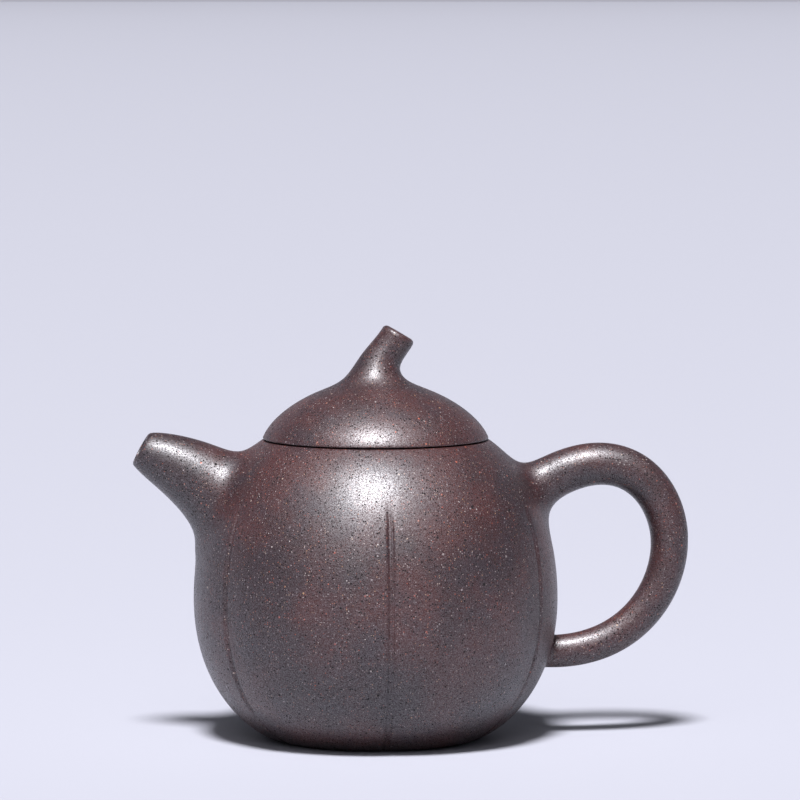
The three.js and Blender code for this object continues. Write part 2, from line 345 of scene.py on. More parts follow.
def roundedLoop(runs, cuts):
    # runs follow each other round a closed outline, and the corner after each is eased by its cut
    outline = []
    for place, run in enumerate(runs):
        run = trim(np.asarray(run, float), cuts[place - 1], cuts[place])
        following = np.asarray(runs[(place + 1) % len(runs)], float)
        outline.append(run)
        if cuts[place] > 0:
            nextStart = trim(following, cuts[place], cuts[(place + 1) % len(runs)])[0]
            corner = np.asarray(runs[place][-1], float)
            share = np.linspace(0, 1, 7)[1:-1, None]
            bend = (1 - share) ** 2 * run[-1] + 2 * share * (1 - share) * corner + share ** 2 * nextStart
            outline.append(bend)
    outline = np.vstack(outline)
    gap = np.linalg.norm(outline - np.roll(outline, 1, axis=0), axis=1)
    return outline[gap > 1e-7]


def gridObject(name, grid, material, closeRows=True, poles=None):
    # grid[row][column] holds points; a row runs round, and so does a column when closeRows is set
    rows, columns = grid.shape[:2]
    index = np.arange(rows * columns).reshape(rows, columns)
    follow = np.roll(index, -1, axis=0) if closeRows else index[1:]
    here = index if closeRows else index[:-1]
    quads = np.stack([here, np.roll(here, -1, 1), np.roll(follow, -1, 1), follow], -1).reshape(-1, 4)
    vertices = [tuple(point) for point in grid.reshape(-1, 3)]
    faces = [tuple(quad) for quad in quads.tolist()]
    if poles is not None:
        for row, pole in ((0, poles[0]), (rows - 1, poles[1])):
            centre = len(vertices)
            vertices.append(tuple(pole))
            ring = index[row].tolist()
            for step in range(columns):
                pair = (ring[step], ring[(step + 1) % columns])
                faces.append((centre, *(pair if row else pair[::-1])))
    mesh = bpy.data.meshes.new(name)
    mesh.from_pydata(vertices, [], faces)
    return finishMesh(name, mesh, material)


def finishMesh(name, mesh, material):
    work = bmesh.new()
    work.from_mesh(mesh)
    bmesh.ops.remove_doubles(work, verts=work.verts, dist=1e-7)
    bmesh.ops.dissolve_degenerate(work, edges=work.edges, dist=1e-8)
    if work.calc_volume(signed=True) < 0:
        bmesh.ops.reverse_faces(work, faces=work.faces)
    for face in work.faces:
        face.smooth = True
    work.to_mesh(mesh)
    work.free()
    mesh.materials.clear()
    mesh.materials.append(material)
    piece = bpy.data.objects.new(name, mesh)
    scene.collection.objects.link(piece)
    return piece


def turnedObject(name, outline, angles, material):
    radius, height = outline[:, 0], outline[:, 1]
    grid = np.stack([
        radius[:, None] * np.cos(angles),
        radius[:, None] * np.sin(angles),
        np.repeat(height[:, None], len(angles), 1),
    ], -1)
    return gridObject(name, grid, material)


def evenAngles(count):
    return np.arange(count) * 2 * math.pi / count


def hand(piece, body, slot, *nodes):
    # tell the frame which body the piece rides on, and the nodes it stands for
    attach(piece, body)
    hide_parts(*nodes)
    print("made", piece.name, len(piece.data.polygons), "faces")


# sizes read from the frame
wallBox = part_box("body_wall")
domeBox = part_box("lid_dome")
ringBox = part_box("mouth_ring")
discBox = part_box("base_disc")
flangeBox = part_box("lid_flange")
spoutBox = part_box("spout")
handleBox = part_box("handle")
bellyRadius = wallBox[1].x
mouthRadius = domeBox[1].x
bodyHeight = ringBox[1].z
lidBottom = domeBox[0].z
lidTop = domeBox[1].z
flangeRadius = flangeBox[1].x
ringRadius = ringBox[1].x


# body: a round profile pressed into lobes
melon = {
    "bellyHeight": 34 * mm,
    "footRadius": discBox[1].x + 3 * mm,
    "footAngle": 23,
    "footReach": 0.43,
    "footFullness": 0.6,
    "shoulderAngle": 35,
    "shoulderReach": 0.82,
    "shoulderFullness": 0.42,
    "wall": 3 * mm,
    "lobes": 6,
    "grooveDepth": 0.62 * mm,
    "grooveHalfWidth": 0.76 * mm,
    "groovePower": 2.6,
    "coreHeight": 0.2 * mm,
    "coreHalfWidth": 0.26 * mm,
    "turn": 0.8,
    "grooveStart": bodyHeight - 10.6 * mm,
    "grooveFade": 9 * mm,
    "valleyDepth": 0.5 * mm,
    "valleyHalfWidth": 6.5 * mm,
    "anglesPerLobe": 64,
    "crowding": 0.78,       # how much closer the columns stand at the grooves
    "outerStep": 0.9 * mm,
    "innerStep": 2.2 * mm,
    "footEdge": 1.1 * mm,
    "mouthEdge": 0.45 * mm,
    "skinDepth": 0.9 * mm,
}


def bodyOutline():
    foot = np.array([melon["footRadius"], 0])
    belly = np.array([bellyRadius, melon["bellyHeight"]])
    mouth = np.array([mouthRadius, bodyHeight])
    out, over = math.radians(melon["footAngle"]), math.radians(melon["shoulderAngle"])
    footReach = melon["footReach"] * (bellyRadius - melon["footRadius"])
    mouthReach = melon["shoulderReach"] * (bellyRadius - mouthRadius)
    lower = [
        foot,
        foot + footReach * np.array([math.cos(out), math.sin(out)]),
        belly - [0, melon["footFullness"] * melon["bellyHeight"]],
        belly,
    ]
    upper = [
        belly,
        belly + [0, melon["shoulderFullness"] * (bodyHeight - melon["bellyHeight"])],
        mouth + mouthReach * np.array([math.cos(over), -math.sin(over)]),
        mouth,
    ]
    share = np.linspace(0, 1, 120)
    return np.vstack([cubic(lower, share), cubic(upper, share)[1:]])


outerLine = bodyOutline()


def pressing(angle, radius, height):
    # how far the lobes' grooves and valleys pull a point of the body in
    lobeAngle = 2 * math.pi / melon["lobes"]
    turn = (angle - math.radians(melon["turn"])) / lobeAngle
    share = np.abs(turn - np.round(turn))
    distance = (0.5 - share) * lobeAngle * radius
    step = np.clip((melon["grooveStart"] - height) / melon["grooveFade"], 0, 1)
    grooveShare = step * step * (3 - 2 * step)
    step = np.clip((melon["grooveStart"] - height) / (melon["grooveStart"] - melon["bellyHeight"]), 0, 1)
    valleyShare = step * step * (3 - 2 * step)

    def bell(halfWidth, power):
        return np.exp(-(distance / halfWidth) ** power)

    groove = melon["grooveDepth"] * bell(melon["grooveHalfWidth"], melon["groovePower"])
    groove -= melon["coreHeight"] * bell(melon["coreHalfWidth"], 2)
    valley = melon["valleyDepth"] * bell(melon["valleyHalfWidth"], 2)
    return groove * grooveShare + valley * valleyShare


def lobeNodes():
    # the same pressing as a Geometry Nodes tree, for the body's own mesh
    group = bpy.data.node_groups.new("press_lobes", "GeometryNodeTree")
    face = group.interface
    face.new_socket("Geometry", in_out="INPUT", socket_type="NodeSocketGeometry")
    face.new_socket("Geometry", in_out="OUTPUT", socket_type="NodeSocketGeometry")
    named = {
        "Lobes": melon["lobes"],
        "Groove depth": melon["grooveDepth"],
        "Groove half width": melon["grooveHalfWidth"],
        "Groove power": melon["groovePower"],
        "Core height": melon["coreHeight"],
        "Core half width": melon["coreHalfWidth"],
        "Turn": math.radians(melon["turn"]),
        "Groove start": melon["grooveStart"],
        "Groove fade": melon["grooveFade"],
        "Valley depth": melon["valleyDepth"],
        "Valley half width": melon["valleyHalfWidth"],
        "Belly height": melon["bellyHeight"],
    }
    for name in named:
        face.new_socket(name, in_out="INPUT", socket_type="NodeSocketFloat")
    face.new_socket("Outside", in_out="INPUT", socket_type="NodeSocketFloat")
    face.new_socket("Material", in_out="INPUT", socket_type="NodeSocketMaterial")
    t = Tree(group)
    given = t.node("NodeGroupInput")
    value = {name: Sum(t, given.outputs[name]) for name in named}
    at = t.node("ShaderNodeSeparateXYZ", None, _0=t.out("GeometryNodeInputPosition"))
    x, y, z = (Sum(t, at.outputs[axis]) for axis in range(3))
    radius = (x * x + y * y) ** 0.5
    lobeAngle = 2 * math.pi / value["Lobes"]
    turn = (t.out("ShaderNodeMath", {"operation": "ARCTAN2"}, _0=y, _1=x) - value["Turn"]) / lobeAngle
    nearest = t.out("ShaderNodeMath", {"operation": "ROUND"}, _0=turn)
    share = t.out("ShaderNodeMath", {"operation": "ABSOLUTE"}, _0=turn - nearest)
    distance = (0.5 - share) * lobeAngle * radius

    def bell(halfWidth, power):
        power = t.out("ShaderNodeMath", {"operation": "POWER"}, _0=distance / halfWidth, _1=power)
        return t.out("ShaderNodeMath", {"operation": "EXPONENT"}, _0=-power)

    start = value["Groove start"]
    grooveShare = t.smooth(z, start - value["Groove fade"], start, 1.0, 0.0)
    valleyShare = t.smooth(z, value["Belly height"], start, 1.0, 0.0)
    groove = value["Groove depth"] * bell(value["Groove half width"], value["Groove power"])
    groove = (groove - value["Core height"] * bell(value["Core half width"], 2.0)) * grooveShare
    valley = value["Valley depth"] * bell(value["Valley half width"], 2.0) * valleyShare
    pull = (groove + valley) * Sum(t, given.outputs["Outside"])
    level = t.out("ShaderNodeCombineXYZ", None, X=x, Y=y)
    inwards = t.out("ShaderNodeVectorMath", {"operation": "NORMALIZE"}, _0=level)
    shift = t.out("ShaderNodeVectorMath", {"operation": "SCALE"}, _0=inwards, Scale=-pull)
    moved = t.node("GeometryNodeSetPosition", None, Geometry=given.outputs["Geometry"], Offset=shift)
    real = t.node("GeometryNodeRealizeInstances", None, _0=moved.outputs[0])
    values = {"Geometry": real.outputs[0], "Material": given.outputs["Material"]}
    final = t.node("GeometryNodeSetMaterial", None, **values)
    t.node("NodeGroupOutput", None, _0=final.outputs[0])
    return group, named


def applyNodes(piece, group, values, material, attributes=None):
    # run a Geometry Nodes tree on a piece and keep the result as a plain mesh
    modifier = piece.modifiers.new(group.name, "NODES")
    modifier.node_group = group
    for item in group.interface.items_tree:
        if item.item_type != "SOCKET" or item.in_out != "INPUT":
            continue
        if item.name in values:
            given = values[item.name]
            modifier[item.identifier] = given if isinstance(given, (int, float)) else list(given)
        elif item.name == "Material":
            modifier[item.identifier] = material
        elif attributes and item.name in attributes:
            modifier[item.identifier + "_use_attribute"] = True
            modifier[item.identifier + "_attribute_name"] = attributes[item.name]
    depsgraph = bpy.context.evaluated_depsgraph_get()
    made = bpy.data.meshes.new_from_object(piece.evaluated_get(depsgraph))
    piece.modifiers.remove(modifier)
    spare = piece.data
    piece.data = made
    bpy.data.meshes.remove(spare)
    made.name = piece.name
    if not made.materials:
        made.materials.append(material)
    for polygon in made.polygons:
        polygon.use_smooth = True
    return piece


def drillNodes():
    # rings of round holes on a ball about a centre, cut out of a shell
    group = bpy.data.node_groups.new("drill_holes", "GeometryNodeTree")
    face = group.interface
    face.new_socket("Geometry", in_out="INPUT", socket_type="NodeSocketGeometry")
    face.new_socket("Geometry", in_out="OUTPUT", socket_type="NodeSocketGeometry")
    face.new_socket("Holes", in_out="INPUT", socket_type="NodeSocketInt")
    face.new_socket("Centre", in_out="INPUT", socket_type="NodeSocketVector")
    face.new_socket("Turn", in_out="INPUT", socket_type="NodeSocketVector")
    sizes = ("Reach", "First ring", "Second ring", "First angle", "Second angle", "Diameter", "Length")
    for name in sizes:
        face.new_socket(name, in_out="INPUT", socket_type="NodeSocketFloat")
    face.new_socket("Material", in_out="INPUT", socket_type="NodeSocketMaterial")
    t = Tree(group)
    given = t.node("NodeGroupInput")

    def value(name):
        return Sum(t, given.outputs[name])

    order = t.out("GeometryNodeInputIndex")
    inFirst = t.out("ShaderNodeMath", {"operation": "GREATER_THAN"}, _0=order, _1=0.5)
    firstEnd = value("First ring") + 0.5
    inSecond = t.out("ShaderNodeMath", {"operation": "GREATER_THAN"}, _0=order, _1=firstEnd)
    tilt = inFirst * value("First angle") + inSecond * (value("Second angle") - value("First angle"))
    firstTurn = (order - 1.0) / value("First ring") * (inFirst - inSecond)
    secondTurn = (order - 1.0 - value("First ring")) / value("Second ring") * inSecond
    around = (firstTurn + secondTurn) * (2 * math.pi)

    def wave(kind, angle):
        return t.out("ShaderNodeMath", {"operation": kind}, _0=angle)

    way = t.out(
        "ShaderNodeCombineXYZ", None, X=wave("COSINE", tilt),
        Y=wave("SINE", tilt) * wave("COSINE", around), Z=wave("SINE", tilt) * wave("SINE", around),
    )
    turned = {"rotation_type": "EULER_XYZ"}
    way = t.out("ShaderNodeVectorRotate", turned, Vector=way, Rotation=value("Turn"))
    spot = t.out("ShaderNodeVectorMath", {"operation": "SCALE"}, _0=way, Scale=value("Reach"))
    spot = t.out("ShaderNodeVectorMath", {"operation": "ADD"}, _0=spot, _1=value("Centre"))
    points = t.out("GeometryNodePoints", None, Count=value("Holes"), Position=spot)
    drill = t.out(
        "GeometryNodeMeshCylinder", {"fill_type": "TRIANGLE_FAN"}, Vertices=28,
        Radius=value("Diameter") * 0.5, Depth=value("Length"),
    )
    aimed = t.out("FunctionNodeAlignRotationToVector", {"axis": "Z"}, Vector=way)
    drills = t.node("GeometryNodeInstanceOnPoints", None, Points=points, Instance=drill, Rotation=aimed)
    real = t.out("GeometryNodeRealizeInstances", None, _0=drills.outputs[0])
    cutting = {"operation": "DIFFERENCE", "solver": "EXACT"}
    cut = t.node("GeometryNodeMeshBoolean", cutting, _0=given.outputs["Geometry"])
    t.feed(cut.inputs["Mesh 2"], real)
    whole = t.node("GeometryNodeRealizeInstances", None, _0=cut.outputs[0])
    values = {"Geometry": whole.outputs[0], "Material": given.outputs["Material"]}
    final = t.node("GeometryNodeSetMaterial", None, **values)
    t.node("NodeGroupOutput", None, _0=final.outputs[0])
    return group


def melonAngles():
    count = melon["lobes"] * melon["anglesPerLobe"]
    share = np.arange(count) / melon["anglesPerLobe"]
    lobe = np.round(share)
    offset = share - lobe
    crowded = offset + melon["crowding"] * np.sin(2 * math.pi * offset) / (2 * math.pi)
    return (lobe + crowded) * 2 * math.pi / melon["lobes"] + math.radians(melon["turn"])


def makeBody():
    wall = melon["wall"]
    outer = resample(outerLine, melon["outerStep"])
    inner = resample(offsetLine(outerLine, wall), melon["innerStep"])
    opening = ringRadius - 0.2 * mm
    innerTop = np.array([opening, inner[-1][1]])
    innerFoot = np.array([discBox[1].x, inner[0][1]])
    outline = roundedLoop([
        outer,
        straight(outer[-1], [opening, bodyHeight]),
        straight([opening, bodyHeight], innerTop, 4),
        np.vstack([innerTop, inner[::-1][1:]]),
        straight(inner[0], innerFoot, 4),
        straight(innerFoot, [innerFoot[0], 0], 4),
        straight([innerFoot[0], 0], outer[0]),
    ], [melon["mouthEdge"], 0.25 * mm, 0, 0, 0.2 * mm, 0.3 * mm, melon["footEdge"]])
    angles = melonAngles()
    body = turnedObject("melon_body", outline, angles, burnishedClay)
    outside = body.data.attributes.new("outside", "FLOAT", "POINT")
    points = np.zeros(len(body.data.vertices) * 3)
    body.data.vertices.foreach_get("co", points)
    points = points.reshape(-1, 3)
    radius = np.hypot(points[:, 0], points[:, 1])
    reach = np.interp(points[:, 2], outerLine[:, 1], outerLine[:, 0])
    outside.data.foreach_set("value", (radius > reach - melon["skinDepth"]).astype(np.float32))
    group, values = lobeNodes()
    return applyNodes(body, group, values, burnishedClay, {"Outside": "outside"})


body = makeBody()
print("body pressed")


# distances to the body and to the limbs, used to draw the clay of one into the other
def nearestOnLine(points, line):
    # the way to the points from their nearest places on a polyline, and where those places are
    runs = np.diff(line, axis=0)
    away = points[:, None, :] - line[None, :-1, :]
    share = np.clip((away * runs).sum(2) / (runs ** 2).sum(1), 0, 1)
    away = away - share[..., None] * runs
    nearest = (away ** 2).sum(2).argmin(1)
    row = np.arange(len(points))
    return away[row, nearest], nearest + share[row, nearest], runs[nearest]


class Skin:
    # the outside of a turned form, pressed in or plain
    def __init__(self, line, pressed=None):
        self.line = line
        self.pressed = pressed

    def field(self, points):
        # distance to the skin and the way it grows
        radius = np.hypot(points[:, 0], points[:, 1])
        angle = np.arctan2(points[:, 1], points[:, 0])
        pull = self.pressed(angle, radius, points[:, 2]) if self.pressed else 0
        flat = np.stack([radius + pull, points[:, 2]], 1)
        away, where, run = nearestOnLine(flat, self.line)
        normal = np.stack([run[:, 1], -run[:, 0]], 1)
        normal /= np.linalg.norm(normal, axis=1)[:, None]
        side = np.sign((normal * away).sum(1))
        slope = np.stack([normal[:, 0] * np.cos(angle), normal[:, 0] * np.sin(angle), normal[:, 1]], 1)
        return np.linalg.norm(away, axis=1) * side, slope


shoulderWay = math.radians(melon["shoulderAngle"])
beyondMouth = outerLine[-1] + 9 * mm * np.array([-math.cos(shoulderWay), math.sin(shoulderWay)])
bodySkin = Skin(np.vstack([resample(outerLine, 1.2 * mm), beyondMouth]), pressing)


def drawTogether(first, second, reach):
    # a smooth union of two fields
    (nearer, nearerSlope), (further, furtherSlope) = first, second
    swap = nearer > further
    nearer, further = np.minimum(nearer, further), np.maximum(nearer, further)
    overlap = np.maximum(reach - (further - nearer), 0) / reach
    share = np.where(swap, 1 - overlap ** 2 / 2, overlap ** 2 / 2)[:, None]
    return nearer - overlap ** 3 * reach / 6, (1 - share) * nearerSlope + share * furtherSlope


def settle(points, field, rounds=8):
    # move points onto the surface where the field is zero
    for turn in range(rounds):
        value, slope = field(points)
        points = points - (value / np.maximum((slope ** 2).sum(1), 0.3))[:, None] * slope
    return points


class Limb:
    # a tapering rod along a curve in the XZ plane
    def __init__(self, centres, radii):
        self.centres = centres
        self.radii = radii
        self.along = lengths(centres)
        self.total = self.along[-1]

    def at(self, distance):
        def centre(place):
            parts = [np.interp(place, self.along, self.centres[:, axis]) for axis in range(3)]
            return np.stack(parts, -1)

        step = 0.3 * mm
        before = np.maximum(distance - step, 0)
        after = np.minimum(distance + step, self.total)
        tangent = centre(after) - centre(before)
        tangent /= np.linalg.norm(tangent, axis=-1)[..., None]
        return centre(distance), tangent, np.interp(distance, self.along, self.radii)

    def ring(self, distance, angles, radius=None):
        # distance and radius may hold a value for each angle
        distance = np.broadcast_to(distance, angles.shape)
        centre, tangent, ownRadius = self.at(distance)
        radius = ownRadius if radius is None else np.broadcast_to(radius, angles.shape)
        across = np.array([0.0, 1.0, 0.0])
        normal = np.cross(tangent, across)
        outward = np.cos(angles)[..., None] * normal + np.sin(angles)[..., None] * across
        return centre + outward * radius[..., None]

    def field(self, points):
        away, where, run = nearestOnLine(points, self.centres)
        distance = np.linalg.norm(away, axis=1)
        radius = np.interp(where, np.arange(len(self.radii)), self.radii)
        return distance - radius, away / np.maximum(distance, 1e-9)[:, None]


def lastOutside(limb, skin, angles, fromEnd, height):
    # how far along the limb each of its lines is last this high above the skin
    samples = np.linspace(0, limb.total, 240)
    order = samples if fromEnd == "far" else samples[::-1]
    distance = np.repeat(order[:, None], len(angles), 1)
    lines = limb.ring(distance, np.repeat(angles[None], len(order), 0))
    outside = skin.field(lines.reshape(-1, 3))[0].reshape(distance.shape) > height
    outside[0] = True
    last = len(order) - 1 - outside[::-1].argmax(0)
    return order[last]


def evened(values, width):
    # a running mean round a ring
    kernel = np.ones(2 * width + 1) / (2 * width + 1)
    for turn in range(2):
        values = np.convolve(np.concatenate([values[-width:], values, values[:width]]), kernel, "valid")
    return values


def unit(vectors):
    return vectors / np.linalg.norm(vectors, axis=-1)[..., None]


fillet = {
    "furthest": 34 * mm,    # how far over the skin a fillet may spread
    "freeShare": 0.8,
    "pull": 0.42,
    "sink": 0.3 * mm,
    "step": 0.5 * mm,
}


def rootRings(limb, skin, angles, fromEnd, start, reachAt, reach, limbCount, rootCount):
    # rings from a place along the limb to its root, round the fillet there, and under the skin
    leave = evened(lastOutside(limb, skin, angles, fromEnd, reach), 3)
    edge = limb.ring(leave, angles)
    onward = 0.3 * mm if fromEnd == "far" else -0.3 * mm
    along = unit(limb.ring(leave + onward, angles) - edge)
    depth = np.abs(skin.field(limb.centres)[0])
    depth[limb.along > limb.total / 2 if fromEnd == "near" else limb.along < limb.total / 2] = 1
    middle = settle(limb.centres[depth.argmin()][None], skin.field, 4)
    normal = skin.field(middle)[1]
    outward = edge - limb.at(leave)[0]
    slide = unit(outward - (outward * normal).sum(1)[:, None] * normal)
    # each column runs out over the skin until the limb no longer pulls at it
    tries = np.linspace(1 * mm, fillet["furthest"], 100)
    spots = settle((middle + slide[None] * tries[:, None, None]).reshape(-1, 3), skin.field, 4)
    free = limb.field(spots)[0] > fillet["freeShare"] * reachAt(spots)
    free = free.reshape(len(tries), len(angles))
    spread = evened(tries[free.argmax(0)], 3)
    outer = settle(middle + slide * spread[:, None], skin.field, 4)
    beyond = settle(middle + slide * (spread + fillet["step"])[:, None], skin.field, 4)
    away = unit(beyond - outer)
    pull = fillet["pull"] * np.linalg.norm(outer - edge, axis=1)[:, None]
    shares = np.linspace(0, 1, rootCount)[:, None, None]
    root = cubic(np.stack([edge, edge + along * pull, outer - away * pull, outer]), shares[..., 0])
    shares = np.linspace(0.03, 1, limbCount)[:-1]
    limbRows = [limb.ring(start + share * (leave - start), angles) for share in shares]
    rows = np.concatenate([np.stack(limbRows), root, beyond[None]])

    def joined(spots):
        return drawTogether(skin.field(spots), limb.field(spots), reachAt(spots))

    points = settle(rows.reshape(-1, 3), joined)
    slope = skin.field(points)[1].reshape(rows.shape)
    points = points.reshape(rows.shape)
    points[-2] -= slope[-2] * 0.02 * mm
    points[-1] -= slope[-1] * fillet["sink"]
    return list(points)


# spout
spoutSizes = {
    "tip": (spoutBox[0].x + 2.02 * mm, bodyHeight - 1.8 * mm),
    "tipAngle": 30,
    "tipRun": 3.6 * mm,
    "shoulder": (-36.8 * mm, 63.4 * mm),
    "root": (-31.3 * mm, 50.8 * mm),
    "rootRun": 4 * mm,
    "tipRadius": 4.1 * mm,
    "rootRadius": 12.4 * mm,
    "flare": 1 * mm,
    "easeFrom": 0.85,
    "lowFillet": 4 * mm,
    "highFillet": 8 * mm,
    "filletFrom": 52 * mm,
    "filletRise": 14 * mm,
    "lip": 0.45 * mm,
    "boreTipRadius": 2.5 * mm,
    "boreRootRadius": 9 * mm,
    "columns": 112,
}


def curvedLimb(flat, radii):
    return Limb(np.stack([flat[:, 0], np.zeros(len(flat)), flat[:, 1]], 1), radii)


def spoutLimbs():
    s = spoutSizes
    angle = math.radians(s["tipAngle"])
    tip = np.array(s["tip"])
    behind = tip + s["tipRun"] * np.array([math.cos(angle), -math.sin(angle)])
    shoulder, root = np.array(s["shoulder"]), np.array(s["root"])
    share = np.linspace(0, 1, 140)
    flat = cubic([tip, behind, shoulder, root], share)
    bore = s["boreTipRadius"] + (s["boreRootRadius"] - s["boreTipRadius"]) * share
    easeFrom = s["easeFrom"]
    late = np.maximum(share - easeFrom, 0) / (1 - easeFrom)
    share = np.minimum(share, easeFrom) + (1 - easeFrom) * (late - late ** 3 / 3)
    outer = s["tipRadius"] + (s["rootRadius"] - s["tipRadius"]) * share + s["flare"] * share ** 4
    further = root + s["rootRun"] * (root - shoulder) / np.linalg.norm(root - shoulder)
    longer = np.vstack([flat, straight(root, further, 8)[1:]])
    return curvedLimb(longer, np.append(outer, np.full(7, outer[-1]))), curvedLimb(flat, bore)


def makeSpout():
    s = spoutSizes
    limb, bore = spoutLimbs()
    angles = evenAngles(s["columns"])

    def reachAt(points):
        high = np.clip((points[:, 2] - s["filletFrom"]) / s["filletRise"], 0, 1)
        return s["lowFillet"] + (s["highFillet"] - s["lowFillet"]) * high * high * (3 - 2 * high)

    lip = s["lip"]
    rings = []
    for turn in np.linspace(0, math.pi / 2, 7):
        depth = lip * (1 - math.sin(turn))
        radius = np.interp(depth, bore.along, bore.radii) + lip - lip * math.cos(turn)
        rings.append(bore.ring(depth, angles, radius))
    for turn in np.linspace(0, math.pi / 2, 7):
        depth = lip * (1 - math.cos(turn))
        radius = np.interp(depth, limb.along, limb.radii) - lip + lip * math.sin(turn)
        rings.append(limb.ring(depth, angles, radius))
    leaveAt = (5.2 + 1.8 * np.cos(angles)) * mm
    rings += rootRings(limb, bodySkin, angles, "far", 0, reachAt, leaveAt, 30, 40)
    # the bore, from inside the body's wall back to the lip
    stop = lastOutside(bore, bodySkin, angles, "far", -0.9 * melon["wall"])
    for share in np.linspace(1, 0.03, 26):
        rings.append(bore.ring(share * stop, angles))
    spout = gridObject("spout_tube", np.stack(rings), burnishedClay)
    return spout, bore


spout, bore = makeSpout()
print("spout drawn")


# handle
handleSizes = {
    "root": (36.8 * mm, 59.2 * mm),
    "shoulder": (59.75 * mm, 75.5 * mm),
    "outerDrop": 25.4 * mm,
    "bend": 12.6 * mm,
    "tailHeight": 20.6 * mm,
    "tailDepth": 3 * mm,
    "tailTurn": (61.5 * mm, 18.6 * mm),
    "rootRadius": 5.54 * mm,
    "outerRadius": 4.55 * mm,
    "tailRadius": 3.9 * mm,
    "upperFillet": 9.5 * mm,
    "crestEase": 1.4 * mm,
    "lowerFillet": 1.3 * mm,
    "columns": 64,
}


def bodyRadiusAt(height):
    return np.interp(height, outerLine[:, 1], outerLine[:, 0])


def handleLimb():
    s = handleSizes
    outer = np.array([handleBox[1].x - s["outerRadius"], bodyHeight - s["outerDrop"]])
    tail = np.array([bodyRadiusAt(s["tailHeight"]) - s["tailDepth"], s["tailHeight"]])
    share = np.linspace(0, 1, 160)
    upper = cubic([s["root"], s["shoulder"], outer + [0, s["bend"]], outer], share)
    lower = cubic([outer, outer - [0, s["bend"]], s["tailTurn"], tail], share)
    flat = np.vstack([upper, lower[1:]])
    along = lengths(flat)
    middle = along[len(upper) - 1]
    thickness = [s["rootRadius"], s["outerRadius"], s["tailRadius"]]
    radii = np.interp(along, [0, middle, along[-1]], thickness)
    return curvedLimb(flat, radii), middle


def makeHandle():
    s = handleSizes
    limb, middle = handleLimb()
    angles = evenAngles(s["columns"])

    def upperReach(points):
        top = np.clip((points[:, 2] - (bodyHeight - 14 * mm)) / (8 * mm), 0, 1)
        side = np.clip(np.abs(points[:, 1]) / (8 * mm), 0, 1)
        return s["upperFillet"] - s["crestEase"] * top * (1 - side)

    def lowerReach(points):
        return np.full(len(points), s["lowerFillet"])

    upper = rootRings(limb, bodySkin, angles, "near", middle, upperReach, 6 * mm, 50, 34)
    lower = rootRings(limb, bodySkin, angles, "far", middle, lowerReach, 1.1 * mm, 60, 10)
    rings = upper[::-1] + lower
    centres = np.stack([rings[0].mean(0), rings[-1].mean(0)])
    depth, slope = bodySkin.field(centres)
    poles = centres - slope * (depth + 1.3 * mm)[:, None]
    return gridObject("loop_handle", np.stack(rings), burnishedClay, False, poles)


handle = makeHandle()
print("handle bent")


# the hole through the wall where the spout's bore comes in
def cutBore():
    rings = []
    for distance in np.linspace(bore.total * 0.55, bore.total, 12):
        radius = np.interp(distance, bore.along, bore.radii) + 0.4 * mm
        rings.append(bore.ring(distance, evenAngles(48), radius))
    poles = [rings[0].mean(0), rings[-1].mean(0)]
    cutter = gridObject("bore_cutter", np.stack(rings), plainClay, False, poles)
    cut = body.modifiers.new("bore", "BOOLEAN")
    cut.operation = "DIFFERENCE"
    cut.solver = "EXACT"
    cut.object = cutter
    depsgraph = bpy.context.evaluated_depsgraph_get()
    made = bpy.data.meshes.new_from_object(body.evaluated_get(depsgraph))
    body.modifiers.remove(cut)
    body.data = made
    made.name = "melon_body"
    bpy.data.objects.remove(cutter)


cutBore()
print("bore cut through the wall")


# base disc, set a little up from the foot, and the ring inside the mouth
basePlate = {"joint": 0.3 * mm, "recess": 0.35 * mm}


def makeBase():
    radius, top = discBox[1].x + basePlate["joint"], discBox[1].z
    recess = basePlate["recess"]
    outline = roundedLoop([
        straight([0, recess], [radius, recess], 30),
        straight([radius, recess], [radius, top], 4),
        straight([radius, top], [0, top], 30),
        straight([0, top], [0, recess], 2),
    ], [0.2 * mm, 0.2 * mm, 0, 0])
    return turnedObject("base_plate", outline[outline[:, 0] >= 0], evenAngles(128), plainClay)


def makeBand(name, outerRadius, innerRadius, bottom, top, edges, material):
    outline = roundedLoop([
        straight([innerRadius, bottom], [outerRadius, bottom], 5),
        straight([outerRadius, bottom], [outerRadius, top], 9),
        straight([outerRadius, top], [innerRadius, top], 5),
        straight([innerRadius, top], [innerRadius, bottom], 9),
    ], edges)
    return turnedObject(name, outline, evenAngles(192), material)


ring = {"width": 2.6 * mm, "edge": 0.35 * mm, "step": 0.06 * mm}
base = makeBase()
mouthRing = makeBand(
    "mouth_band", ringRadius, ringRadius - ring["width"], ringBox[0].z, bodyHeight - ring["step"],
    [0.2 * mm, 0.1 * mm, ring["edge"], ring["edge"]], plainClay,
)


# strainer: half a ball luted over the bore from inside, pierced in rings
strainerSizes = {
    "height": bodyHeight - 15 * mm,
    "radius": 10 * mm,
    "thickness": 1.8 * mm,
    "tilt": 24,
    "hole": 2.6 * mm,
    "firstRing": 6,
    "secondRing": 11,
    "firstAngle": 26,
    "secondAngle": 50,
}


